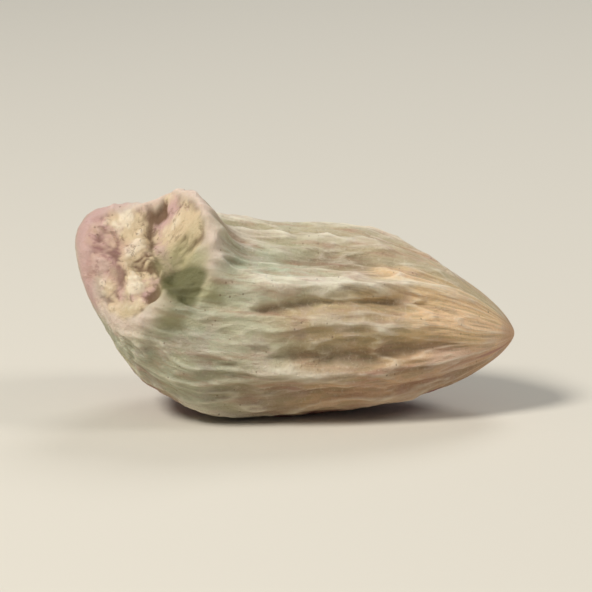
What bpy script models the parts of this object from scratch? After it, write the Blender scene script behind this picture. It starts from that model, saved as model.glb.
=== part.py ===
"""A shelled pistachio kernel: one dried seed in its wrinkled skin, lying on its side.

Metres, +Z up. X runs from the blunt, scarred end to the pointed tip, and -Y is the side with the scar.
The seed grew as one piece, so it is one solid. It rests on a small flat spot at the origin's level.
"""

import math

import bmesh
import bpy
import numpy as np
from mathutils import noise

MM = 0.001

# The body's size before its relief
LENGTH = 17.9 * MM
WIDTH = 8.7 * MM
HEIGHT = 8.0 * MM

# How full the ends are: the blunt end swells quickly, and the tip narrows over the last third
BLUNT_FULLNESS = 8.5
SIDE_TAPER = 4.3
SIDE_POINT = 0.93
PLAN_TAPER = 3.4
PLAN_POINT = 0.80
TIP_REACH = 0.975
TIP_ROUNDING = 55
SQUARENESS = 2.2

# The middle line climbs into the blunt end, drops towards the tip and bends a little sideways
BLUNT_RISE = 2.5 * MM
BLUNT_RISE_POWER = 6.5
BLUNT_SLANT = 0.20
TIP_DROP = 0.50 * MM
SIDE_BEND = 0.45 * MM

# The scar where the seed hung: its middle as a share of the length and an angle round the body
SCAR_ALONG = 0.152
SCAR_ANGLE = 46.0
SCAR_RADIUS = 2.5 * MM
SCAR_SINK = 0.24 * MM
LIP_HEIGHT = 1.45 * MM
LIP_LOW_SIDE = 0.22
LIP_WIDTH = 0.92 * MM
LIP_HIGH_BEARING = 42.0
LIP_LUMPS = 3
LIP_LUMPINESS = 0.20
FURROW_SPACING = 1.35 * MM
FURROW_DEPTH = 0.12 * MM
FURROW_BEARING = 25.0

# The pit at the scar's edge, where the green seed shows
PIT_ALONG = 0.245
PIT_ANGLE = 29.0
PIT_RADIUS = 0.80 * MM
PIT_DEPTH = 0.70 * MM

# Long folds of the skin: angle at the blunt end, angle at the tip, height in mm (a groove is below 0),
# half width in degrees, and where it starts and ends along the kernel.
# Angles turn round the body from the front, 0, over the top, 90, and the back, 180, to the underside, 270.
FOLDS = (
    (20, 46, 0.42, 8, 0.22, 1.02),
    (12, 30, -0.30, 6, 0.34, 0.84),
    (5, 14, 0.20, 6, 0.44, 0.90),
    (-3, -10, -0.32, 7, 0.30, 0.96),
    (-20, -22, 0.24, 10, 0.12, 0.93),
    (-38, -36, -0.22, 8, 0.24, 0.86),
    (-56, -48, 0.20, 10, 0.15, 0.94),
    (46, 62, -0.22, 10, 0.24, 0.84),
    (66, 80, 0.24, 9, 0.20, 0.93),
    (86, 96, -0.20, 8, 0.30, 0.80),
    (106, 112, 0.30, 9, 0.14, 0.96),
    (125, 130, -0.26, 8, 0.22, 0.86),
    (145, 142, 0.26, 9, 0.10, 0.92),
    (163, 158, -0.28, 7, 0.28, 0.85),
    (181, 174, 0.36, 9, 0.08, 1.00),
    (199, 194, -0.24, 8, 0.20, 0.82),
    (216, 212, 0.22, 9, 0.15, 0.92),
    (234, 236, -0.20, 9, 0.25, 0.84),
)
FOLD_WANDER = 3.5
FOLD_WAVES = 1.4
FOLD_SWELL = 0.30
FOLD_SWELLS = 2.3

# The net of wrinkles between the folds: how many noise cells it has round and along the kernel
WRINKLE_HEIGHT = 0.12 * MM
WRINKLE_WIDTH = 0.26
WRINKLES_ROUND = 2.6
WRINKLES_ALONG = 6.0

# Folds and wrinkles grow fainter where the body is thinner than this share, up to the tip
TIP_PINCH = 0.80
TIP_PINCH_POWER = 1.6

# Broad unevenness of a dried seed
LUMP_HEIGHT = 0.13 * MM

# The flat spot that the kernel rests on is cut this far up the belly
FLAT_CUT = 0.28 * MM

# The grid that the form is worked out on, and how many triangles it is then thinned to
SEGMENTS = 150
RINGS = 90
TRIANGLES = 11500

SKIN_COLOUR = (0.43, 0.36, 0.24, 1.0)
SKIN_ROUGHNESS = 0.62


def smooth_step(low, high, value):
    """0 below low, 1 above high, and a smooth climb between them."""
    share = np.clip((value - low) / (high - low), 0.0, 1.0)
    return share * share * (3.0 - 2.0 * share)


def angle_apart(angle, other):
    """How far two angles in degrees are apart, from -180 to 180."""
    return (angle - other + 180.0) % 360.0 - 180.0


def blunt_swell(along):
    """Share of the full thickness near the blunt end, where it grows from 0."""
    return np.sqrt(1.0 - (1.0 - along) ** BLUNT_FULLNESS)


def fullness(along, taper, point):
    """Share of the full thickness, from 0 at the blunt end over the swell to a rounded tip."""
    narrowing = (1.0 - (TIP_REACH * along) ** taper) ** point
    return blunt_swell(along) * narrowing * np.sqrt(1.0 - along**TIP_ROUNDING)


def rounded(value):
    """A cosine or sine drawn out towards a square, so that the section is a little boxy."""
    return np.sign(value) * np.abs(value) ** (2.0 / SQUARENESS)


def smooth_body(along, angle):
    """Points of the body without its folds, at a share of the length and an angle in degrees."""
    turn = np.radians(angle)
    half_width = WIDTH / 2 * fullness(along, PLAN_TAPER, PLAN_POINT)
    half_height = HEIGHT / 2 * fullness(along, SIDE_TAPER, SIDE_POINT)
    across = -half_width * rounded(np.cos(turn))
    above = half_height * rounded(np.sin(turn))
    blunt = (1.0 - along) ** BLUNT_RISE_POWER
    middle = BLUNT_RISE * blunt - TIP_DROP * along**5
    x = LENGTH * (along - 0.5) - BLUNT_SLANT * blunt * above
    y = across + SIDE_BEND * np.sin(math.pi * along) ** 2
    return np.stack([x, y, middle + above], axis=-1)


def pinch(along):
    """1 on the body and less where it is thin, so that folds don't cross at the tip."""
    thin = np.minimum(1.0, fullness(along, SIDE_TAPER, SIDE_POINT) / TIP_PINCH)
    return thin**TIP_PINCH_POWER


def folds(along, angle):
    """Height of the long folds that run from the blunt end and draw together at the tip."""
    height = np.zeros_like(along)
    for number, (at_blunt, at_tip, size, half_width, start, end) in enumerate(FOLDS):
        wander = FOLD_WANDER * np.sin(2 * math.pi * FOLD_WAVES * along + 2.1 * number)
        swell = 1.0 + FOLD_SWELL * np.sin(2 * math.pi * FOLD_SWELLS * along + 1.7 * number)
        path = at_blunt + (at_tip - at_blunt) * along + wander
        apart = angle_apart(angle, path) / half_width
        grows = smooth_step(start, start + 0.16, along)
        fades = 1.0 - smooth_step(end - 0.16, end, along)
        height += size * MM * swell * grows * fades * np.exp(-apart * apart)
    return height * pinch(along)


def lumps(along, angle):
    """Broad dents and swellings: two waves that wind round the body at different rates."""
    turn = np.radians(angle)
    slow = np.sin(7.3 * along + 2.0 * np.sin(turn)) * np.cos(2.0 * turn + 5.1 * along)
    quick = np.sin(13.1 * along + 3.0 * turn + 1.0)
    return LUMP_HEIGHT * (slow + 0.6 * quick) * np.sin(math.pi * along) ** 0.7


def wrinkles(along, angle):
    """Low crests that run lengthwise, part and meet again, as a dried skin's do."""
    turn = np.radians(angle)
    lengthwise = WRINKLES_ALONG * along + 0.35 * np.sin(3.0 * turn) * np.sqrt(along)
    reach = WRINKLES_ROUND * blunt_swell(along)
    places = np.stack([lengthwise, reach * np.cos(turn), reach * np.sin(turn)], axis=-1)
    level = np.array([noise.noise(place) for place in places])
    crest = np.exp(-((level / WRINKLE_WIDTH) ** 2))
    return WRINKLE_HEIGHT * (crest - 0.5) * pinch(along)


def surface_frame(along, angle):
    """A point of the smooth body, and the directions from it to the tip and round the body."""
    point = smooth_body(np.array(along), np.array(angle))
    to_tip = smooth_body(np.array(along + 0.01), np.array(angle)) - point
    to_tip /= np.linalg.norm(to_tip)
    round_body = smooth_body(np.array(along), np.array(angle + 1.0)) - point
    round_body -= to_tip * (round_body @ to_tip)
    round_body /= np.linalg.norm(round_body)
    return point, to_tip, round_body


def scar(points):
    """Height of the scar: a raised ragged lip, a sunken furrowed floor and the pit at its edge."""
    middle, to_tip, round_body = surface_frame(SCAR_ALONG, SCAR_ANGLE)
    away = points - middle
    east, north = away @ to_tip, away @ round_body
    bearing = np.arctan2(north, east)
    ragged = 1.0 + 0.09 * np.sin(3 * bearing + 0.7) + 0.06 * np.sin(5 * bearing + 2.0)
    reach = np.linalg.norm(away, axis=-1) / (SCAR_RADIUS * ragged)
    from_high = bearing - math.radians(LIP_HIGH_BEARING)
    high_side = LIP_LOW_SIDE + (1.0 - LIP_LOW_SIDE) * np.cos(from_high / 2) ** 4
    lumpy = 1.0 + LIP_LUMPINESS * np.cos(LIP_LUMPS * from_high)
    lip = np.exp(-(((reach - 1.0) * SCAR_RADIUS / LIP_WIDTH) ** 2))
    inside = 1.0 - smooth_step(0.55, 1.0, reach)
    turn = math.radians(FURROW_BEARING)
    crosswise = east * math.cos(turn) + north * math.sin(turn)
    lengthwise = north * math.cos(turn) - east * math.sin(turn)
    waves = 2 * math.pi * crosswise / FURROW_SPACING + 1.3 * np.sin(lengthwise / FURROW_SPACING)
    furrows = np.sin(waves) * np.clip(1.0 - reach**2, 0.0, 1.0) ** 1.5
    pit_middle = smooth_body(np.array(PIT_ALONG), np.array(PIT_ANGLE))
    from_pit = np.linalg.norm(points - pit_middle, axis=-1) / PIT_RADIUS
    return (
        LIP_HEIGHT * high_side * lumpy * lip
        - SCAR_SINK * inside
        + FURROW_DEPTH * furrows
        - PIT_DEPTH * np.exp(-(from_pit**4))
    )


def kernel_mesh():
    """The kernel as a closed mesh: a sphere drawn out to the body, with its folds and scar raised from it."""
    bm = bmesh.new()
    bmesh.ops.create_uvsphere(bm, u_segments=SEGMENTS, v_segments=RINGS, radius=1.0)
    bm.verts.ensure_lookup_table()
    on_sphere = np.array([vert.co for vert in bm.verts])
    along = np.clip((1.0 - on_sphere[:, 2]) / 2.0, 0.0, 1.0)
    angle = np.degrees(np.arctan2(on_sphere[:, 1], on_sphere[:, 0]))
    body = smooth_body(along, angle)
    for vert, point in zip(bm.verts, body):
        vert.co = point
    bmesh.ops.recalc_face_normals(bm, faces=bm.faces)
    bm.normal_update()
    relief = folds(along, angle) + lumps(along, angle) + wrinkles(along, angle) + scar(body)
    for vert, height in zip(bm.verts, relief):
        vert.co += vert.normal * float(height)
    return bm


def thinned(bm):
    """The same surface in fewer triangles, with the small ones left where it bends most."""
    mesh = bpy.data.meshes.new("fine")
    bm.to_mesh(mesh)
    bm.free()
    fine = bpy.data.objects.new("fine", mesh)
    bpy.context.scene.collection.objects.link(fine)
    collapse = fine.modifiers.new("collapse", "DECIMATE")
    collapse.ratio = TRIANGLES / (2 * SEGMENTS * (RINGS - 1))
    collapse.use_collapse_triangulate = True
    thin = bmesh.new()
    thin.from_object(fine, bpy.context.evaluated_depsgraph_get())
    bpy.data.objects.remove(fine)
    return thin


def rest_on_flat_spot(bm):
    """Cuts the small flat spot, and sets the origin at its level, below the middle of the kernel."""
    lowest = min(vert.co.z for vert in bm.verts)
    everything = bm.verts[:] + bm.edges[:] + bm.faces[:]
    cut = bmesh.ops.bisect_plane(
        bm,
        geom=everything,
        dist=1e-6,
        plane_co=(0.0, 0.0, lowest + FLAT_CUT),
        plane_no=(0.0, 0.0, -1.0),
        clear_outer=True,
    )
    rim = [item for item in cut["geom_cut"] if isinstance(item, bmesh.types.BMEdge)]
    bmesh.ops.contextual_create(bm, geom=rim)
    corners = np.array([vert.co for vert in bm.verts])
    low, high = corners.min(axis=0), corners.max(axis=0)
    centre = (low + high) / 2
    bmesh.ops.translate(bm, verts=bm.verts, vec=(-centre[0], -centre[1], -low[2]))
    bmesh.ops.recalc_face_normals(bm, faces=bm.faces)


def skin_material():
    material = bpy.data.materials.new("skin")
    material.use_nodes = True
    shader = material.node_tree.nodes["Principled BSDF"]
    shader.inputs["Base Color"].default_value = SKIN_COLOUR
    shader.inputs["Roughness"].default_value = SKIN_ROUGHNESS
    shader.inputs["Metallic"].default_value = 0.0
    return material


def make_kernel():
    bm = thinned(kernel_mesh())
    rest_on_flat_spot(bm)
    mesh = bpy.data.meshes.new("kernel")
    bm.to_mesh(mesh)
    bm.free()
    mesh.shade_smooth()
    mesh.materials.append(skin_material())
    kernel = bpy.data.objects.new("kernel", mesh)
    bpy.context.scene.collection.objects.link(kernel)


for old in list(bpy.data.objects):
    bpy.data.objects.remove(old)
make_kernel()
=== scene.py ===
import math

import bpy
import numpy as np
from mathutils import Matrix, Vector, noise


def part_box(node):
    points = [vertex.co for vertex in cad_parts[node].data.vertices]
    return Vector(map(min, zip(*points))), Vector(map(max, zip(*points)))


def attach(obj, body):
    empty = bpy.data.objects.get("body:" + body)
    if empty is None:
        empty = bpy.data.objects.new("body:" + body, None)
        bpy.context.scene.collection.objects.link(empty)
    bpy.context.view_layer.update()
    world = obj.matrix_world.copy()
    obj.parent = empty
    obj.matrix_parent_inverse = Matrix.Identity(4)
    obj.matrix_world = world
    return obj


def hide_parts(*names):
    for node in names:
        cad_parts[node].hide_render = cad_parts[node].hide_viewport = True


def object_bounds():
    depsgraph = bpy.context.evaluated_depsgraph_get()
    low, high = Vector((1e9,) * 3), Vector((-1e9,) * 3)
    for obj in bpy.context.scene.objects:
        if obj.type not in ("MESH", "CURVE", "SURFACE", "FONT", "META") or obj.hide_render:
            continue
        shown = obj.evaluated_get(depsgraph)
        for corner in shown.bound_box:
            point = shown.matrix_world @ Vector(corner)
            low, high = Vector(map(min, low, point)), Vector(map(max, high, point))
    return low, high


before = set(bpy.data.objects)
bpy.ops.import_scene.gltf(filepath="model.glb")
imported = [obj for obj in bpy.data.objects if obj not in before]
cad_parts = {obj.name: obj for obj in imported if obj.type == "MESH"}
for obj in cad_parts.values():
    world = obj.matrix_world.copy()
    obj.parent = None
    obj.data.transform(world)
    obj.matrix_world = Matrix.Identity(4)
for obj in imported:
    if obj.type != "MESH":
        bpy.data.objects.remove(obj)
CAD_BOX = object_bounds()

MM = 0.001

# The kernel's form: the same values as the solid's own
LENGTH = 17.9 * MM
WIDTH = 8.7 * MM
HEIGHT = 8.0 * MM
BLUNT_FULLNESS = 8.5
SIDE_TAPER = 4.3
SIDE_POINT = 0.93
PLAN_TAPER = 3.4
PLAN_POINT = 0.80
TIP_REACH = 0.975
TIP_ROUNDING = 55
SQUARENESS = 2.2
BLUNT_RISE = 2.5 * MM
BLUNT_RISE_POWER = 6.5
BLUNT_SLANT = 0.20
TIP_DROP = 0.50 * MM
SIDE_BEND = 0.45 * MM
SCAR_ALONG = 0.152
SCAR_ANGLE = 46.0
SCAR_RADIUS = 2.5 * MM
SCAR_SINK = 0.24 * MM
LIP_HEIGHT = 1.45 * MM
LIP_LOW_SIDE = 0.22
LIP_WIDTH = 0.92 * MM
LIP_HIGH_BEARING = 42.0
LIP_LUMPS = 3
LIP_LUMPINESS = 0.20
FURROW_SPACING = 1.35 * MM
FURROW_DEPTH = 0.12 * MM
FURROW_BEARING = 25.0
PIT_ALONG = 0.245
PIT_ANGLE = 29.0
PIT_RADIUS = 0.80 * MM
PIT_DEPTH = 0.70 * MM
# Long folds: angle at the blunt end, angle at the tip, height in mm, half width in degrees, start, end
FOLDS = (
    (20, 46, 0.42, 8, 0.22, 1.02),
    (12, 30, -0.30, 6, 0.34, 0.84),
    (5, 14, 0.20, 6, 0.44, 0.90),
    (-3, -10, -0.32, 7, 0.30, 0.96),
    (-20, -22, 0.24, 10, 0.12, 0.93),
    (-38, -36, -0.22, 8, 0.24, 0.86),
    (-56, -48, 0.20, 10, 0.15, 0.94),
    (46, 62, -0.22, 10, 0.24, 0.84),
    (66, 80, 0.24, 9, 0.20, 0.93),
    (86, 96, -0.20, 8, 0.30, 0.80),
    (106, 112, 0.30, 9, 0.14, 0.96),
    (125, 130, -0.26, 8, 0.22, 0.86),
    (145, 142, 0.26, 9, 0.10, 0.92),
    (163, 158, -0.28, 7, 0.28, 0.85),
    (181, 174, 0.36, 9, 0.08, 1.00),
    (199, 194, -0.24, 8, 0.20, 0.82),
    (216, 212, 0.22, 9, 0.15, 0.92),
    (234, 236, -0.20, 9, 0.25, 0.84),
)
FOLD_WANDER = 3.5
FOLD_WAVES = 1.4
FOLD_SWELL = 0.30
FOLD_SWELLS = 2.3
WRINKLE_HEIGHT = 0.12 * MM
WRINKLE_WIDTH = 0.26
WRINKLES_ROUND = 2.6
WRINKLES_ALONG = 6.0
TIP_PINCH = 0.80
TIP_PINCH_POWER = 1.6
LUMP_HEIGHT = 0.13 * MM
FLAT_CUT = 0.28 * MM

# The finer skin. A net of crests has noise cells along and round the kernel, a crest's share of a cell, and
# a shift that sets its noise apart
CREASES = (7.5, 7.0, 0.30, 0.0)
CREASE_HEIGHT = 0.13 * MM
CREASE_LEVEL = 0.35
VEINS = (16.0, 14.0, 0.32, 7.0)
VEIN_HEIGHT = 0.055 * MM
VEIN_LEVEL = 0.4
CRINKLES = (30.0, 4.5, 0.32, 13.0)
CRINKLE_HEIGHT = 0.035 * MM
CRINKLE_LEVEL = 0.4
CREST_SHARPNESS = 1.4
SHALLOW_CREASES = 0.75
DEEP_CREASES = 1.25
DEEP_PATCHES = (-0.3, 0.4)
CRINKLED_PATCHES = (0.0, 0.35)
NET_OF_CREASES = 0.6
WARP = 0.40
PUCKERS = 34
PUCKER_HEIGHT = 0.035 * MM
PUCKER_REACH = 1.30
PUCKER_SPREAD = 0.28
PUCKER_WARP = 5.0
PUCKER_BEND = 3.0
BLUNT_CALM = 0.45
CALM_ALONG = (0.0, 0.14)

# Softening of the fine relief: a point's own share, and that of each of its four neighbours
OWN_SHARE = 0.5
NEIGHBOUR_SHARE = 0.125

# Noise on the skin: cells along it, cells round it, and a shift that sets each apart
WARP_NOISE = (7.0, 4.5, 31.0)
DEPTH_NOISE = (6.0, 2.4, 41.0)
PATCH_NOISE = (5.0, 2.2, 17.0)
SMALL_PATCH_NOISE = (13.0, 5.0, 23.0)

# The torn scar: bumps and hollows by their place from its middle in mm, radius and height in mm
SCAR_BUMPS = (
    (-1.10, 1.55, 0.50, 0.16),
    (-0.50, 0.60, 0.40, 0.18),
    (0.00, -1.25, 0.48, 0.18),
    (-1.60, -0.50, 0.40, 0.12),
    (0.95, 1.20, 0.42, 0.14),
    (0.30, 1.70, 0.24, -0.16),
    (-1.00, 0.10, 0.20, -0.14),
    (0.95, -1.55, 0.28, -0.18),
    (-0.55, -0.95, 0.22, -0.14),
    (0.65, -0.45, 0.24, -0.14),
)
BUMP_WARP = 0.35
SCAR_CELLS = 1.2 / MM
SCAR_SHIFT = 5.0
FINER_CELLS = 2.6
FINER_SHIFT = 19.0
SCAR_GRAIN = 0.06 * MM
FINER_GRAIN = 0.6
TEAR_WANDER = 0.17
TEAR_FRAY = 0.07
TEAR_EDGE = (0.80, 0.97)
TORN_STEP = 0.06 * MM
TORN_CURL = 0.03 * MM
CURL_WIDTH = 0.06

# Colour zones. Each pair is where a zone is still absent and where it is full: by how far up the skin faces,
# by share of the length, or by reach from the scar's middle, which is 1 at the lip. A wander is how much
# the noise patches bend its edge
# DOWN_FACING, DOWN_ALONG and DOWN_WANDER place the painted shade on the skin that faces down
DOWN_FACING = (0.10, -0.65)
DOWN_ALONG = (0.22, 0.50)
DOWN_WANDER = 0.25
UP_FACING = (0.62, 1.0)
UP_WANDER = 0.2
RIPE_ALONG = (0.32, 0.80)
RIPE_WANDER = 0.10
RIPE_LOSS_ABOVE = 0.36
OLIVE_ANGLE = 11.0
OLIVE_HALF_WIDTH = 19.0
OLIVE_START = (0.40, 0.54)
OLIVE_END = (0.82, 0.66)
MINT_ALONG = 0.44
MINT_HALF_LENGTH = 0.13
MINT_ANGLE = 40.0
MINT_HALF_WIDTH = 17.0
ZONE_WANDER = 8.0
TIP_ALONG = (0.95, 0.995)
TIP_WANDER = 0.02
STREAKED_REACH = (0.95, 1.35)
STREAKED_ALONG = (0.985, 0.82)
RIM_SPREAD = 0.20
FAR_WEST = (0.25, 0.80)
FAR_REACH = (1.35, 1.05)
FAR_WANDER = 0.5
GREEN_SPREAD = 2.3
GREEN_WANDER = 0.5
PIT_STEEPNESS = 6
PIT_WANDER = 0.25
RELIEF_SPAN = 1.0 * MM
SCAR_SPAN = 0.4 * MM

# How warm the skin's colour is, from 0 at sage to 1 at tan
WARMTH_EVERYWHERE = 0.08
WARMTH_RIPE = 0.64
# WARMTH_BELOW warms the skin that faces down, where the painted shade lies too
WARMTH_BELOW = 0.20
WARMTH_PATCHES = 0.16
WARMTH_SMALL_PATCHES = 0.12

# The red side: the way it faces, in degrees up from straight back, and where it starts and is full
RED_BEARING = -32.0
RED_EDGE = (-0.05, 0.55)
RED_PATCHES = 0.45
RED_SMALL_PATCHES = 0.22

# Grid of the fine skin, and the bare margin of its map for the export
SEGMENTS = 384
RINGS = 256
MAP_MARGIN = 0.004

# Where the camera stands: it looks along +Y from a little above, from far off
CAMERA_ELEVATION = 13.0
CAMERA_LENS = 200.0
CAMERA_SENSOR = 36.0
FRAME_WIDTH = 24.6 * MM
CAMERA_NEAR = 0.005
CAMERA_FAR = 10.0

# Soft lights: name, place in m, size in m, power in W and colour
LIGHTS = (
    ("key", (-0.14, -0.10, 0.19), 0.075, 0.60, (1.0, 0.97, 0.93)),
    ("back", (0.05, 0.17, 0.20), 0.12, 0.20, (0.95, 0.97, 1.0)),
    ("right", (0.20, -0.04, 0.17), 0.10, 0.20, (1.0, 0.97, 0.94)),
)
WORLD_COLOUR = (0.80, 0.84, 0.88, 1.0)
WORLD_STRENGTH = 0.22
FLOOR_HALF = 0.6
FLOOR_ROUGHNESS = 0.85

# Noise patterns of the colours and the bump: scale, detail, roughness and distortion
WIDE = (0.9, 4.0)
MOTTLE = (0.7, 5.0, 0.62, 0.5)
STAINS = (1.3, 6.0, 0.66, 0.6)
STREAKS = (3.4, 4.0, 0.62, 0.4)
THREADS = (7.0, 3.0, 0.6, 0.15)
POWDERY = (7.0, 4.0, 0.7)
RED_MOTTLE = (0.6, 6.0, 0.62, 0.5)
RED_POWDERY = (6.0, 4.0, 0.7)
RED_RAGGED = (2.0, 6.0, 0.65)
SCAR_MOTTLE = (0.8, 5.0, 0.6)
SCAR_FIBRES = (3.2, 6.0, 0.7, 0.8)
SPECK_SPREAD = (0.9, 2.0)
DRY_PATCHES = (2.0, 4.0)
BUMP_THREADS = (5.0, 5.0, 0.6, 0.2)
BUMP_PORES = (10.0, 5.0, 0.70)
SPECK_CELLS = 3.1

# How much patterns are squeezed along the kernel, which draws them out lengthwise
GRAIN_SQUEEZE = 0.18
THREAD_SQUEEZE = 0.10
BUMP_SQUEEZE = 0.22

# How a pattern or height brings in a colour: where it starts and is full, and the least and most share there
WARMTH_SHIFT = (0.3, 0.7, -0.12, 0.12)
# Brings in the painted shade on the skin that faces down
UNDERSIDE_SHADE_BAND = (0.65, 0.35, 0.45, 0.90)
LILAC_BAND = (0.50, 0.64, 0.0, 0.26)
ROSE_BAND = (0.52, 0.66, 0.0, 0.45)
RIPE_BAND = (0.15, 0.50, 0.25, 1.0)
# By height: painted shade in the grooves and between the fine creases, and painted highlights on the crests
GROOVE_SHADE_BAND = (0.48, 0.10, 0.0, 0.62)
CREST_HIGHLIGHT_BAND = (0.56, 0.90, 0.0, 0.62)
NET_VALLEY_SHADE_BAND = (0.22, 0.0, 0.0, 0.30)
NET_CREST_HIGHLIGHT_BAND = (0.35, 0.85, 0.0, 0.32)
STREAK_BAND = (0.54, 0.70, 0.0, 0.34)
THREAD_BAND = (0.52, 0.68, 0.0, 0.24)
POWDER_BAND = (0.50, 0.72, 0.0, 0.30)
CRIMSON_BAND = (0.35, 0.65)
# Painted highlights on the red skin's crests and painted shade in its creases
RED_CREST_HIGHLIGHT_BAND = (0.52, 0.88, 0.0, 0.45)
RED_VALLEY_SHADE_BAND = (0.25, 0.0, 0.0, 0.40)
RED_NET_HIGHLIGHT_BAND = (0.35, 0.85, 0.0, 0.35)
RED_POWDER_BAND = (0.50, 0.75, 0.0, 0.30)
RED_SHIFT = (0.3, 0.7, -0.35, 0.35)
ROSE_FRINGE_BAND = (0.02, 0.50, 0.0, 0.55)
RED_BAND = (0.32, 0.90, 0.0, 0.88)
PINK_FLOOR_BAND = (0.50, 0.68)
# By height: painted highlights on the scar's bumps and painted shade in its hollows
HIGHLIT_BUMP_BAND = (0.58, 0.85, 0.0, 0.8)
SHADED_HOLLOW_BAND = (0.54, 0.28, 0.0, 0.95)
BROWN_FIBRE_BAND = (0.52, 0.66, 0.0, 0.60)
GREEN_BAND = (0.25, 0.90, 0.0, 0.65)
PIT_BAND = (0.10, 0.75, 0.0, 0.92)
SPARSE_BAND = (0.48, 0.60, 0.0, 0.55)
SPECK_BAND = (0.17, 0.08)
ROUGHNESS_BAND = (0.3, 0.7, 0.46, 0.68)

# The most that a zone takes on its colour
KHAKI_SHARE = 0.65
OLIVE_SHARE = 0.75
MINT_SHARE = 0.70
TIP_SHARE = 0.75
RIM_SHARE = 0.65
FAR_SIDE_SHARE = 0.55

# The skin's finish
SPECULAR = 0.42
SUBSURFACE = 0.08
SUBSURFACE_RADIUS = (1.0, 0.6, 0.35)
SUBSURFACE_DEPTH = 0.3 * MM
BUMP_STRENGTH = 1.0
BUMP_DEPTH = 0.08 * MM


def linear(red, green, blue):
    """A colour given as 0 to 255 screen values, as the shader wants it."""
    shares = [value / 255 for value in (red, green, blue)]
    return tuple(s / 12.92 if s <= 0.04045 else ((s + 0.055) / 1.055) ** 2.4 for s in shares) + (1.0,)


# Colours by their screen values
SAGE_SHADE = linear(182, 183, 156)
SAGE = linear(203, 199, 168)
BEIGE = linear(206, 189, 156)
# The warm skin towards the tip: its own colour, made paler partly as a painted highlight
OCHRE = linear(236, 203, 154)
PEACH = linear(248, 211, 168)
TAN = linear(240, 198, 158)
# Painted shade for the skin that faces down
UNDERSIDE_SHADE = linear(158, 126, 100)
OLIVE = linear(164, 146, 108)
KHAKI = linear(182, 168, 134)
MINT = linear(186, 194, 166)
TIP_BROWN = linear(194, 152, 118)
# Painted shade for the grooves and creases, and a painted highlight for the crests
GROOVE_SHADE = linear(124, 100, 70)
VALLEY_SHADE = linear(160, 148, 110)
CREST_HIGHLIGHT = linear(242, 234, 212)
VEIN = linear(146, 110, 88)
POWDER = linear(226, 214, 190)
MAUVE = linear(166, 100, 108)
CRIMSON = linear(122, 56, 70)
LILAC = linear(194, 168, 164)
ROSE = linear(182, 136, 114)
CREAM = linear(216, 194, 158)
RIM_PALE = linear(232, 206, 192)
# A painted highlight for the scar's bumps
SCAR_HIGHLIGHT = linear(244, 229, 202)
SCAR_PINK = linear(204, 168, 158)
SCAR_LILAC = linear(184, 134, 134)
# The brown of the scar's own fibres, and also painted shade in its hollows
SCAR_BROWN = linear(112, 84, 58)
SCAR_GREEN = linear(160, 158, 112)
PIT_GREEN = linear(108, 106, 68)
SPECK = linear(110, 80, 60)
FLOOR = linear(208, 202, 188)

# The skin's colour by how warm it is
# Towards the tip the paler ochre, peach and tan are the skin's own warm colour and partly a painted
# highlight
SKIN_RAMP = ((0.0, SAGE_SHADE), (0.18, SAGE), (0.40, BEIGE), (0.60, OCHRE), (0.80, PEACH), (1.0, TAN))


def smooth_step(low, high, value):
    """0 below low, 1 above high, and a smooth climb between them."""
    share = np.clip((value - low) / (high - low), 0.0, 1.0)
    return share * share * (3.0 - 2.0 * share)


def angle_apart(angle, other):
    """How far two angles in degrees are apart, from -180 to 180."""
    return (angle - other + 180.0) % 360.0 - 180.0


def noise_at(places):
    """Smooth noise from about -1 to 1 at each place."""
    return np.array([noise.noise(place) for place in places.tolist()])


def blunt_swell(along):
    """Share of the full thickness near the blunt end, where it grows from 0."""
    return np.sqrt(1.0 - (1.0 - along) ** BLUNT_FULLNESS)


def fullness(along, taper, point):
    """Share of the full thickness, from 0 at the blunt end over the swell to a rounded tip."""
    narrowing = (1.0 - (TIP_REACH * along) ** taper) ** point
    return blunt_swell(along) * narrowing * np.sqrt(1.0 - along**TIP_ROUNDING)


def rounded(value):
    """A cosine or sine drawn out towards a square, so that the section is a little boxy."""
    return np.sign(value) * np.abs(value) ** (2.0 / SQUARENESS)


def smooth_body(along, angle):
    """Points of the body without its folds, at a share of the length and an angle in degrees."""
    turn = np.radians(angle)
    half_width = WIDTH / 2 * fullness(along, PLAN_TAPER, PLAN_POINT)
    half_height = HEIGHT / 2 * fullness(along, SIDE_TAPER, SIDE_POINT)
    across = -half_width * rounded(np.cos(turn))
    above = half_height * rounded(np.sin(turn))
    blunt = (1.0 - along) ** BLUNT_RISE_POWER
    middle = BLUNT_RISE * blunt - TIP_DROP * along**5
    x = LENGTH * (along - 0.5) - BLUNT_SLANT * blunt * above
    y = across + SIDE_BEND * np.sin(math.pi * along) ** 2
    return np.stack([x, y, middle + above], axis=-1)


def pinch(along):
    """1 on the body and less where it is thin, so that folds don't cross at the tip."""
    thin = np.minimum(1.0, fullness(along, SIDE_TAPER, SIDE_POINT) / TIP_PINCH)
    return thin**TIP_PINCH_POWER


def folds(along, angle):
    """Height of the long folds that run from the blunt end and draw together at the tip."""
    height = np.zeros_like(along)
    for number, (at_blunt, at_tip, size, half_width, start, end) in enumerate(FOLDS):
        wander = FOLD_WANDER * np.sin(2 * math.pi * FOLD_WAVES * along + 2.1 * number)
        swell = 1.0 + FOLD_SWELL * np.sin(2 * math.pi * FOLD_SWELLS * along + 1.7 * number)
        path = at_blunt + (at_tip - at_blunt) * along + wander
        apart = angle_apart(angle, path) / half_width
        grows = smooth_step(start, start + 0.16, along)
        fades = 1.0 - smooth_step(end - 0.16, end, along)
        height += size * MM * swell * grows * fades * np.exp(-apart * apart)
    return height * pinch(along)


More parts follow.
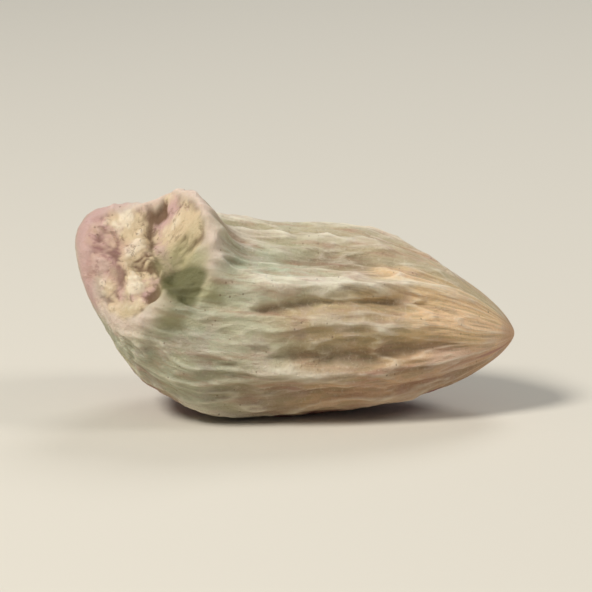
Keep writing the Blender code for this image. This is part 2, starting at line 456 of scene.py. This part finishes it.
def lumps(along, angle):
    """Broad dents and swellings: two waves that wind round the body at different rates."""
    turn = np.radians(angle)
    slow = np.sin(7.3 * along + 2.0 * np.sin(turn)) * np.cos(2.0 * turn + 5.1 * along)
    quick = np.sin(13.1 * along + 3.0 * turn + 1.0)
    return LUMP_HEIGHT * (slow + 0.6 * quick) * np.sin(math.pi * along) ** 0.7


def skin_places(along, angle, cells_along, cells_round):
    """Places for noise on the skin, with as many cells along and round it as given."""
    turn = np.radians(angle)
    bend = 0.35 / WRINKLES_ALONG * cells_along
    lengthwise = cells_along * along + bend * np.sin(3.0 * turn) * np.sqrt(along)
    reach = cells_round * blunt_swell(along)
    return np.stack([lengthwise, reach * np.cos(turn), reach * np.sin(turn)], axis=-1)


def wrinkles(along, angle):
    """Low crests that run lengthwise, part and meet again, as a dried skin's do."""
    level = noise_at(skin_places(along, angle, WRINKLES_ALONG, WRINKLES_ROUND))
    crest = np.exp(-((level / WRINKLE_WIDTH) ** 2))
    return WRINKLE_HEIGHT * (crest - 0.5) * pinch(along)


def surface_frame(along, angle):
    """A point of the smooth body, and the directions from it to the tip and round the body."""
    point = smooth_body(np.array(along), np.array(angle))
    to_tip = smooth_body(np.array(along + 0.01), np.array(angle)) - point
    to_tip /= np.linalg.norm(to_tip)
    round_body = smooth_body(np.array(along), np.array(angle + 1.0)) - point
    round_body -= to_tip * (round_body @ to_tip)
    round_body /= np.linalg.norm(round_body)
    return point, to_tip, round_body


def scar_places(points):
    """Each point's place east and north of the scar's middle, its bearing, and its reach: 1 at the lip."""
    middle, to_tip, round_body = surface_frame(SCAR_ALONG, SCAR_ANGLE)
    away = points - middle
    east, north = away @ to_tip, away @ round_body
    bearing = np.arctan2(north, east)
    ragged = 1.0 + 0.09 * np.sin(3 * bearing + 0.7) + 0.06 * np.sin(5 * bearing + 2.0)
    reach = np.linalg.norm(away, axis=-1) / (SCAR_RADIUS * ragged)
    return east, north, bearing, reach


def from_pit(points):
    """Distance from the middle of the pit, as a share of its radius."""
    pit_middle = smooth_body(np.array(PIT_ALONG), np.array(PIT_ANGLE))
    return np.linalg.norm(points - pit_middle, axis=-1) / PIT_RADIUS


def scar(points):
    """Height of the scar: a raised ragged lip, a sunken furrowed floor and the pit at its edge."""
    east, north, bearing, reach = scar_places(points)
    from_high = bearing - math.radians(LIP_HIGH_BEARING)
    high_side = LIP_LOW_SIDE + (1.0 - LIP_LOW_SIDE) * np.cos(from_high / 2) ** 4
    lumpy = 1.0 + LIP_LUMPINESS * np.cos(LIP_LUMPS * from_high)
    lip = np.exp(-(((reach - 1.0) * SCAR_RADIUS / LIP_WIDTH) ** 2))
    inside = 1.0 - smooth_step(0.55, 1.0, reach)
    turn = math.radians(FURROW_BEARING)
    crosswise = east * math.cos(turn) + north * math.sin(turn)
    lengthwise = north * math.cos(turn) - east * math.sin(turn)
    waves = 2 * math.pi * crosswise / FURROW_SPACING + 1.3 * np.sin(lengthwise / FURROW_SPACING)
    furrows = np.sin(waves) * np.clip(1.0 - reach**2, 0.0, 1.0) ** 1.5
    return (
        LIP_HEIGHT * high_side * lumpy * lip
        - SCAR_SINK * inside
        + FURROW_DEPTH * furrows
        - PIT_DEPTH * np.exp(-(from_pit(points) ** 4))
    )


def skin_grid():
    """Share of the length and angle of each vertex: ring by ring, then the two ends."""
    turn = math.pi * np.arange(1, RINGS + 1) / (RINGS + 1)
    along = np.repeat((1.0 - np.cos(turn)) / 2.0, SEGMENTS)
    angle = np.tile(360.0 * np.arange(SEGMENTS) / SEGMENTS, RINGS)
    return np.append(along, [0.0, 1.0]), np.append(angle, [0.0, 0.0])


def grid_faces():
    """Quads between the rings and triangles round the two ends, all facing out."""
    column = np.arange(SEGMENTS)
    after = (column + 1) % SEGMENTS
    faces = []
    for ring in range(RINGS - 1):
        here, there = ring * SEGMENTS, (ring + 1) * SEGMENTS
        faces += np.stack([here + column, there + column, there + after, here + after], axis=1).tolist()
    blunt, tip, last = RINGS * SEGMENTS, RINGS * SEGMENTS + 1, (RINGS - 1) * SEGMENTS
    faces += np.stack([np.full(SEGMENTS, blunt), column, after], axis=1).tolist()
    faces += np.stack([last + column, np.full(SEGMENTS, tip), last + after], axis=1).tolist()
    return faces


def point_normals(mesh):
    """The direction that the surface faces at each vertex."""
    normals = np.zeros(3 * len(mesh.vertices))
    mesh.vertices.foreach_get("normal", normals)
    return normals.reshape(-1, 3)


def place_points(mesh, points):
    """Moves the mesh's vertices to the given points."""
    mesh.vertices.foreach_set("co", points.ravel())
    mesh.update()


def skin_noise(along, angle, cells):
    """Noise on the skin, from its cells along and round it and its shift."""
    cells_along, cells_round, shift = cells
    return noise_at(skin_places(along, angle, cells_along, cells_round) + shift)


def crest_net(along, angle, net, warp):
    """A net of crests, 1 on a crest and 0 between: narrow lines that part and meet."""
    cells_along, cells_round, width, shift = net
    level = noise_at(skin_places(along, angle, cells_along, cells_round) + (warp + shift)[:, None])
    return np.maximum(1.0 - np.abs(level) / width, 0.0) ** CREST_SHARPNESS


def puckers(body, warp):
    """Height of the small rays that run out from the scar's lip."""
    bearing, reach = scar_places(body)[2:]
    rays = np.cos(PUCKERS * bearing + PUCKER_WARP * warp + PUCKER_BEND * np.sin(3 * bearing))
    return PUCKER_HEIGHT * rays * np.exp(-(((reach - PUCKER_REACH) / PUCKER_SPREAD) ** 2))


def fine_skin(along, angle, body):
    """Height of the creases, veins, crinkles and puckers, and the net that the colour follows too."""
    warp = WARP * skin_noise(along, angle, WARP_NOISE)
    patch = skin_noise(along, angle, DEPTH_NOISE)
    creases = crest_net(along, angle, CREASES, warp)
    veins = crest_net(along, angle, VEINS, warp)
    crinkles = crest_net(along, angle, CRINKLES, warp)
    deep = SHALLOW_CREASES + (DEEP_CREASES - SHALLOW_CREASES) * smooth_step(*DEEP_PATCHES, patch)
    height = CREASE_HEIGHT * deep * (creases - CREASE_LEVEL) + VEIN_HEIGHT * (veins - VEIN_LEVEL)
    height += CRINKLE_HEIGHT * smooth_step(*CRINKLED_PATCHES, -patch) * (crinkles - CRINKLE_LEVEL)
    height += puckers(body, warp)
    calm = BLUNT_CALM + (1.0 - BLUNT_CALM) * smooth_step(*CALM_ALONG, along)
    net = calm * (NET_OF_CREASES * creases + (1.0 - NET_OF_CREASES) * veins)
    return height * calm * pinch(along), net


def billows(level):
    """Round lumps with narrow valleys between them, from noise: about -1 to 1."""
    return 4.0 * np.abs(level) - 1.0


def torn_scar(body):
    """Height of the torn floor and edge, how far each point is inside the tear, and its height there."""
    east, north, _, reach = scar_places(body)
    rough = noise_at(body * SCAR_CELLS + SCAR_SHIFT)
    finer = noise_at(body * SCAR_CELLS * FINER_CELLS + FINER_SHIFT)
    edge = reach + TEAR_WANDER * rough + TEAR_FRAY * finer
    inside = 1.0 - smooth_step(*TEAR_EDGE, edge)
    curl = np.exp(-(((edge - TEAR_EDGE[1]) / CURL_WIDTH) ** 2))
    height = SCAR_GRAIN * billows(rough) + FINER_GRAIN * SCAR_GRAIN * billows(finer)
    for to_east, to_north, radius, rise in SCAR_BUMPS:
        apart = np.hypot(east - to_east * MM, north - to_north * MM) / (radius * MM)
        height += rise * MM * np.exp(-((apart * (1.0 + BUMP_WARP * rough)) ** 2))
    return inside * (height - TORN_STEP) + TORN_CURL * curl, inside, height


def softened(height):
    """Height averaged with its neighbours, so that no crest is sharper than the grid can show."""
    grid = height[:-2].reshape(RINGS, SEGMENTS)
    beside = np.roll(grid, 1, axis=1) + np.roll(grid, -1, axis=1)
    padded = np.pad(grid, ((1, 1), (0, 0)), mode="edge")
    lengthwise = padded[:-2] + padded[2:]
    return np.append(OWN_SHARE * grid + NEIGHBOUR_SHARE * (beside + lengthwise), height[-2:])


def add_number(mesh, name, values):
    """Stores one number for each vertex, for the material to read."""
    attribute = mesh.attributes.new(name, "FLOAT", "POINT")
    attribute.data.foreach_set("value", np.ascontiguousarray(values, dtype=np.float32))


def add_places(mesh, name, places):
    """Stores one place for each vertex, for the material's patterns."""
    attribute = mesh.attributes.new(name, "FLOAT_VECTOR", "POINT")
    attribute.data.foreach_set("vector", np.ascontiguousarray(places.ravel(), dtype=np.float32))


def add_bake_map(mesh):
    """A map for the export: round the kernel across it, from end to end up it."""
    loops = np.zeros(len(mesh.loops), dtype=np.int64)
    mesh.loops.foreach_get("vertex_index", loops)
    starts = np.zeros(len(mesh.polygons), dtype=np.int64)
    mesh.polygons.foreach_get("loop_start", starts)
    sizes = np.zeros(len(mesh.polygons), dtype=np.int64)
    mesh.polygons.foreach_get("loop_total", sizes)
    face = np.repeat(np.arange(len(starts)), sizes)
    ends = loops >= RINGS * SEGMENTS
    column = np.where(ends, 0, loops % SEGMENTS).astype(float)
    ring = np.where(ends, np.where(loops == RINGS * SEGMENTS, 0, RINGS + 1), loops // SEGMENTS + 1)
    highest = np.maximum.reduceat(np.where(ends, -1.0, column), starts)[face]
    column = np.where((column == 0) & ~ends & (highest == SEGMENTS - 1), SEGMENTS, column)
    lowest = np.minimum.reduceat(np.where(ends, 1e9, column), starts)[face]
    column = np.where(ends, lowest + 0.5, column)
    coords = np.stack([column / SEGMENTS, ring / (RINGS + 1)], axis=1)
    coords = MAP_MARGIN + (1.0 - 2.0 * MAP_MARGIN) * coords
    layer = mesh.uv_layers.new(name="OFBake")
    layer.data.foreach_set("uv", coords.ravel())


def skin_zones(along, angle, patch, small_patch):
    """How warm the skin is, and how far each point is in the zones that the skin's place sets."""
    facing_up = np.sin(np.radians(angle))
    # Painted shade: the share of darker colour on the skin that faces down, towards the middle and tip
    shade_below = smooth_step(*DOWN_FACING, facing_up + DOWN_WANDER * patch) * smooth_step(*DOWN_ALONG, along)
    up = smooth_step(*UP_FACING, facing_up + UP_WANDER * patch)
    ripe = smooth_step(*RIPE_ALONG, along + RIPE_WANDER * patch) * (1.0 - RIPE_LOSS_ABOVE * up)
    warmth = WARMTH_EVERYWHERE + WARMTH_RIPE * ripe + WARMTH_BELOW * shade_below
    warmth = warmth + WARMTH_PATCHES * patch + WARMTH_SMALL_PATCHES * small_patch
    wandering = angle + ZONE_WANDER * small_patch
    olive = np.exp(-((angle_apart(wandering, OLIVE_ANGLE) / OLIVE_HALF_WIDTH) ** 4))
    olive = olive * smooth_step(*OLIVE_START, along) * smooth_step(*OLIVE_END, along)
    from_mint = ((along - MINT_ALONG) / MINT_HALF_LENGTH) ** 2
    from_mint = from_mint + (angle_apart(wandering, MINT_ANGLE) / MINT_HALF_WIDTH) ** 2
    return {
        "warmth": np.clip(warmth, 0.0, 1.0),
        "shade_below": shade_below,
        "up": up,
        "olive": olive,
        "mint": np.exp(-from_mint),
        "tip": smooth_step(*TIP_ALONG, along + TIP_WANDER * small_patch),
    }


def red_zone(body, patch, small_patch):
    """How far each point is in the red side."""
    facing = math.radians(RED_BEARING)
    back = (body[:, 1] * math.cos(facing) + body[:, 2] * math.sin(facing)) / (WIDTH / 2)
    return smooth_step(*RED_EDGE, back + RED_PATCHES * patch + RED_SMALL_PATCHES * small_patch)


def scar_zones(along, body, small_patch):
    """How far each point is on the rim, far side, green part or pit of the scar, or on streaked skin."""
    bearing, reach = scar_places(body)[2:]
    westward = -reach * np.cos(bearing) + FAR_WANDER * small_patch
    green = np.exp(-((from_pit(body) / GREEN_SPREAD) ** 2)) + GREEN_WANDER * small_patch
    return {
        "skin": smooth_step(*STREAKED_REACH, reach) * smooth_step(*STREAKED_ALONG, along),
        "rim": np.exp(-(((reach - 1.0) / RIM_SPREAD) ** 2)),
        "far_side": smooth_step(*FAR_WEST, westward) * smooth_step(*FAR_REACH, reach),
        "green": np.clip(green, 0.0, 1.0),
        "pit": np.exp(-((from_pit(body) * (1.0 + PIT_WANDER * small_patch)) ** PIT_STEEPNESS)),
    }


def level_in(span, height):
    """A height as a number from 0 to 1: 0.5 at the middle level, 0 or 1 half a span from it."""
    return np.clip(0.5 + height / span, 0.0, 1.0)


def paint_places(mesh, along, angle, body, relief):
    """Gives the skin the numbers and places that its material reads: what lies where."""
    patch = skin_noise(along, angle, PATCH_NOISE)
    small_patch = skin_noise(along, angle, SMALL_PATCH_NOISE)
    zones = skin_zones(along, angle, patch, small_patch) | scar_zones(along, body, small_patch)
    for name, values in zones.items():
        add_number(mesh, name, values)
    add_number(mesh, "blush", red_zone(body, patch, small_patch))
    add_number(mesh, "relief", level_in(RELIEF_SPAN, relief))
    add_places(mesh, "grain", skin_places(along, angle, LENGTH / MM, WIDTH / MM / 2))
    add_places(mesh, "place", body / MM)


def make_skin():
    """The kernel's skin: the solid's own form on a finer grid, with its fine relief and the torn scar."""
    along, angle = skin_grid()
    body = smooth_body(along, angle)
    mesh = bpy.data.meshes.new("kernel_skin")
    mesh.from_pydata(body.tolist(), [], grid_faces())
    relief = folds(along, angle) + wrinkles(along, angle)
    form = body + point_normals(mesh) * (relief + lumps(along, angle) + scar(body))[:, None]
    level = form[:, 2].min() + FLAT_CUT
    place_points(mesh, form)
    fine, net = fine_skin(along, angle, body)
    torn_relief, torn, torn_height = torn_scar(body)
    fine = softened(fine * (1.0 - torn) + torn_relief)
    skin = form + point_normals(mesh) * fine[:, None]
    skin[:, 2] = np.maximum(skin[:, 2], level)
    place_points(mesh, skin + onto_solid(form, level))
    paint_places(mesh, along, angle, body, relief + fine)
    add_number(mesh, "net", net)
    add_number(mesh, "scar", torn)
    add_number(mesh, "scar_height", level_in(SCAR_SPAN, torn_height))
    add_bake_map(mesh)
    mesh.shade_smooth()
    piece = bpy.data.objects.new("kernel_skin", mesh)
    bpy.context.scene.collection.objects.link(piece)
    return piece


def onto_solid(form, level):
    """The shift that puts the form where the solid is, with its flat spot on the floor."""
    own_middle = (form.min(axis=0) + form.max(axis=0)) / 2
    low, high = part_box("kernel")
    cad_middle = (np.array(low) + np.array(high)) / 2
    return np.array([cad_middle[0] - own_middle[0], cad_middle[1] - own_middle[1], -level])


class Shader:
    """Builds a material's nodes one at a time, from numbers, colours or other nodes' outputs."""

    def __init__(self, name):
        self.material = bpy.data.materials.new(name)
        self.material.use_nodes = True
        self.tree = self.material.node_tree
        self.surface = self.tree.nodes["Principled BSDF"]

    def feed(self, socket, value):
        """Links another node's output to a socket, or sets the socket to a plain value."""
        if isinstance(value, bpy.types.NodeSocket):
            self.tree.links.new(value, socket)
        else:
            socket.default_value = value

    def add(self, kind, inputs, **settings):
        """Adds a node with the given settings and inputs."""
        node = self.tree.nodes.new(kind)
        for name, value in settings.items():
            setattr(node, name, value)
        for name, value in inputs.items():
            self.feed(node.inputs[name], value)
        return node

    def number(self, name):
        """The mesh's number of that name."""
        return self.add("ShaderNodeAttribute", {}, attribute_name=name).outputs["Fac"]

    def vector(self, name):
        """The mesh's place of that name."""
        return self.add("ShaderNodeAttribute", {}, attribute_name=name).outputs["Vector"]

    def along_grain(self, squeeze):
        """Places on the skin in about mm, squeezed along the kernel, for patterns drawn out lengthwise."""
        inputs = {"Vector": self.vector("grain"), "Scale": (squeeze, 1.0, 1.0)}
        return self.add("ShaderNodeMapping", inputs).outputs["Vector"]

    def noise(self, places, scale, detail, roughness=0.55, distortion=0.0):
        """Cloudy noise from about 0.3 to 0.7."""
        inputs = {
            "Vector": places,
            "Scale": scale,
            "Detail": detail,
            "Roughness": roughness,
            "Distortion": distortion,
        }
        return self.add("ShaderNodeTexNoise", inputs).outputs["Fac"]

    def cells(self, places, scale):
        """Distance from the nearest of many scattered points."""
        return self.add("ShaderNodeTexVoronoi", {"Vector": places, "Scale": scale}).outputs["Distance"]

    def math(self, operation, first, second):
        """Two values added, multiplied and so on."""
        return self.add("ShaderNodeMath", {0: first, 1: second}, operation=operation).outputs[0]

    def band(self, value, low, high, at_low=0.0, at_high=1.0):
        """Takes value from low to high, smoothly, to the range from at_low to at_high."""
        inputs = {0: value, 1: low, 2: high, 3: at_low, 4: at_high}
        return self.add("ShaderNodeMapRange", inputs, interpolation_type="SMOOTHSTEP").outputs[0]

    def mix(self, share, under, over):
        """One colour laid over another by a share."""
        inputs = {0: share, 6: under, 7: over}
        return self.add("ShaderNodeMix", inputs, data_type="RGBA").outputs[2]

    def zone(self, name, most, under, over):
        """Lays a colour over another where the mesh's number of that name is high, up to a most share."""
        return self.mix(self.math("MULTIPLY", self.number(name), most), under, over)

    def ramp(self, value, stops):
        """A colour by value, from stops at rising positions."""
        node = self.add("ShaderNodeValToRGB", {0: value})
        elements = node.color_ramp.elements
        elements[0].position, elements[0].color = stops[0]
        elements[1].position, elements[1].color = stops[-1]
        for position, colour in stops[1:-1]:
            elements.new(position).color = colour
        return node.outputs["Color"]


def skin_colour(paint, along_grain, even):
    """Sage at the scar to ochre and tan at the tip, mottled, with painted shade on the skin that faces down,
    in the grooves and between the fine creases, and painted highlights on the crests.
    """
    wide = paint.noise(along_grain, *WIDE)
    warmth = paint.math("ADD", paint.number("warmth"), paint.band(wide, *WARMTH_SHIFT))
    colour = paint.ramp(warmth, SKIN_RAMP)
    # Painted shade on the skin that faces down
    under = paint.math("MULTIPLY", paint.number("shade_below"), paint.band(wide, *UNDERSIDE_SHADE_BAND))
    colour = paint.mix(under, colour, UNDERSIDE_SHADE)
    colour = paint.zone("up", KHAKI_SHARE, colour, KHAKI)
    colour = paint.zone("olive", OLIVE_SHARE, colour, OLIVE)
    colour = paint.zone("mint", MINT_SHARE, colour, MINT)
    mottle = paint.noise(even, *MOTTLE)
    colour = paint.mix(paint.band(mottle, *LILAC_BAND), colour, LILAC)
    stained = paint.noise(along_grain, *STAINS)
    stain = paint.math("MULTIPLY", paint.band(stained, *ROSE_BAND), paint.band(warmth, *RIPE_BAND))
    colour = paint.mix(stain, colour, ROSE)
    relief = paint.number("relief")
    # Painted shade in the grooves and painted highlights on the crests
    colour = paint.mix(paint.band(relief, *GROOVE_SHADE_BAND), colour, GROOVE_SHADE)
    colour = paint.mix(paint.band(relief, *CREST_HIGHLIGHT_BAND), colour, CREST_HIGHLIGHT)
    net = paint.number("net")
    # Painted shade between the fine creases and painted highlights on them
    colour = paint.mix(paint.band(net, *NET_VALLEY_SHADE_BAND), colour, VALLEY_SHADE)
    colour = paint.mix(paint.band(net, *NET_CREST_HIGHLIGHT_BAND), colour, CREST_HIGHLIGHT)
    return veined_colour(paint, colour, along_grain, even)


def veined_colour(paint, colour, along_grain, even):
    """Lays brown streaks and threads along the skin, and a pale powder over it."""
    skin = paint.number("skin")
    streaks = paint.band(paint.noise(along_grain, *STREAKS), *STREAK_BAND)
    colour = paint.mix(paint.math("MULTIPLY", streaks, skin), colour, VEIN)
    drawn_out = paint.along_grain(THREAD_SQUEEZE)
    threads = paint.band(paint.noise(drawn_out, *THREADS), *THREAD_BAND)
    colour = paint.mix(paint.math("MULTIPLY", threads, skin), colour, VEIN)
    return paint.mix(paint.band(paint.noise(even, *POWDERY), *POWDER_BAND), colour, POWDER)


def blush_colour(paint, colour, along_grain, even):
    """Lays the mauve to crimson skin of the shaded side over the pale one, with painted highlights on its
    crests and painted shade in its creases, and browns the tip.
    """
    red = paint.mix(paint.band(paint.noise(even, *RED_MOTTLE), *CRIMSON_BAND), MAUVE, CRIMSON)
    net = paint.number("net")
    # Painted highlights on the crests and painted shade in the creases of the red skin
    red = paint.mix(paint.band(paint.number("relief"), *RED_CREST_HIGHLIGHT_BAND), red, LILAC)
    red = paint.mix(paint.band(net, *RED_VALLEY_SHADE_BAND), red, CRIMSON)
    red = paint.mix(paint.band(net, *RED_NET_HIGHLIGHT_BAND), red, LILAC)
    red = paint.mix(paint.band(paint.noise(even, *RED_POWDERY), *RED_POWDER_BAND), red, LILAC)
    ragged = paint.noise(along_grain, *RED_RAGGED)
    share = paint.math("ADD", paint.number("blush"), paint.band(ragged, *RED_SHIFT))
    colour = paint.mix(paint.band(share, *ROSE_FRINGE_BAND), colour, ROSE)
    colour = paint.mix(paint.band(share, *RED_BAND), colour, red)
    return paint.zone("tip", TIP_SHARE, colour, TIP_BROWN)


def scar_colour(paint, colour, even):
    """Cream torn tissue with painted highlights on its bumps, painted shade in its hollows and brown fibres,
    its paler rim, and the green pit.
    """
    height = paint.number("scar_height")
    floor = paint.mix(paint.band(paint.noise(even, *SCAR_MOTTLE), *PINK_FLOOR_BAND), CREAM, SCAR_PINK)
    # Painted highlights on the bumps and painted shade in the hollows
    floor = paint.mix(paint.band(height, *HIGHLIT_BUMP_BAND), floor, SCAR_HIGHLIGHT)
    floor = paint.mix(paint.band(height, *SHADED_HOLLOW_BAND), floor, SCAR_BROWN)
    fibres = paint.noise(even, *SCAR_FIBRES)
    floor = paint.mix(paint.band(fibres, *BROWN_FIBRE_BAND), floor, SCAR_BROWN)
    colour = paint.zone("rim", RIM_SHARE, colour, RIM_PALE)
    colour = paint.mix(paint.number("scar"), colour, floor)
    colour = paint.zone("far_side", FAR_SIDE_SHARE, colour, SCAR_LILAC)
    colour = paint.mix(paint.band(paint.number("green"), *GREEN_BAND), colour, SCAR_GREEN)
    return paint.mix(paint.band(paint.number("pit"), *PIT_BAND), colour, PIT_GREEN)


def specked_colour(paint, colour, even):
    """Scatters small dark specks over the colour."""
    sparse = paint.band(paint.noise(even, *SPECK_SPREAD), *SPARSE_BAND)
    specks = paint.math("MULTIPLY", paint.band(paint.cells(even, SPECK_CELLS), *SPECK_BAND), sparse)
    return paint.mix(specks, colour, SPECK)


def skin_bump(paint, even):
    """The finest relief, which the mesh is too coarse for: threads along the skin, and pores."""
    threads = paint.noise(paint.along_grain(BUMP_SQUEEZE), *BUMP_THREADS)
    threads = paint.math("MULTIPLY", threads, paint.number("skin"))
    pores = paint.noise(even, *BUMP_PORES)
    inputs = {
        "Height": paint.math("ADD", threads, pores),
        "Strength": BUMP_STRENGTH,
        "Distance": BUMP_DEPTH,
    }
    return paint.add("ShaderNodeBump", inputs).outputs["Normal"]


def skin_material():
    """The kernel's skin, scar and tip, coloured by the numbers that the mesh carries."""
    paint = Shader("kernel_skin")
    along_grain = paint.along_grain(GRAIN_SQUEEZE)
    even = paint.vector("place")
    colour = skin_colour(paint, along_grain, even)
    colour = blush_colour(paint, colour, along_grain, even)
    colour = scar_colour(paint, colour, even)
    inputs = paint.surface.inputs
    paint.feed(inputs["Base Color"], specked_colour(paint, colour, even))
    paint.feed(inputs["Roughness"], paint.band(paint.noise(even, *DRY_PATCHES), *ROUGHNESS_BAND))
    paint.feed(inputs["Normal"], skin_bump(paint, even))
    inputs["Specular IOR Level"].default_value = SPECULAR
    inputs["Subsurface Weight"].default_value = SUBSURFACE
    inputs["Subsurface Radius"].default_value = SUBSURFACE_RADIUS
    inputs["Subsurface Scale"].default_value = SUBSURFACE_DEPTH
    return paint.material


def make_floor():
    """A plain pale floor, which isn't part of the kernel."""
    corners = [(x * FLOOR_HALF, y * FLOOR_HALF, 0.0) for x, y in ((-1, -1), (1, -1), (1, 1), (-1, 1))]
    mesh = bpy.data.meshes.new("floor")
    mesh.from_pydata(corners, [], [(0, 1, 2, 3)])
    paint = Shader("floor")
    paint.surface.inputs["Base Color"].default_value = FLOOR
    paint.surface.inputs["Roughness"].default_value = FLOOR_ROUGHNESS
    mesh.materials.append(paint.material)
    floor = bpy.data.objects.new("floor", mesh)
    bpy.context.scene.collection.objects.link(floor)


def aim(thing, place, target):
    """Puts a light or camera at a place and turns it towards the target."""
    thing.location = place
    thing.rotation_euler = (Vector(target) - Vector(place)).to_track_quat("-Z", "Y").to_euler()


def add_light(name, place, size, power, colour, target):
    """Adds one round soft light."""
    light = bpy.data.lights.new(name, "AREA")
    light.shape = "DISK"
    light.size = size
    light.energy = power
    light.color = colour
    lamp = bpy.data.objects.new(name, light)
    bpy.context.scene.collection.objects.link(lamp)
    aim(lamp, place, target)


def light_scene(target):
    """Lights the kernel softly from the surround and from three lights."""
    world = bpy.data.worlds.new("surround")
    bpy.context.scene.world = world
    world.use_nodes = True
    background = world.node_tree.nodes["Background"]
    background.inputs["Color"].default_value = WORLD_COLOUR
    background.inputs["Strength"].default_value = WORLD_STRENGTH
    for name, place, size, power, colour in LIGHTS:
        add_light(name, place, size, power, colour, target)


def make_camera(target):
    """The camera, at the photograph's viewing angle."""
    camera = bpy.data.cameras.new("camera")
    camera.lens = CAMERA_LENS
    camera.sensor_width = CAMERA_SENSOR
    camera.clip_start = CAMERA_NEAR
    camera.clip_end = CAMERA_FAR
    distance = FRAME_WIDTH * CAMERA_LENS / CAMERA_SENSOR
    tilt = math.radians(CAMERA_ELEVATION)
    stand = bpy.data.objects.new("camera", camera)
    bpy.context.scene.collection.objects.link(stand)
    place = Vector(target) + distance * Vector((0.0, -math.cos(tilt), math.sin(tilt)))
    aim(stand, place, target)
    bpy.context.scene.camera = stand


kernel = make_skin()
kernel.data.materials.append(skin_material())
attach(kernel, "root")
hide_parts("kernel")
make_floor()
middle = (np.array(CAD_BOX[0]) + np.array(CAD_BOX[1])) / 2
light_scene(middle.tolist())
make_camera(middle.tolist())
bpy.context.scene.view_settings.view_transform = "Standard"
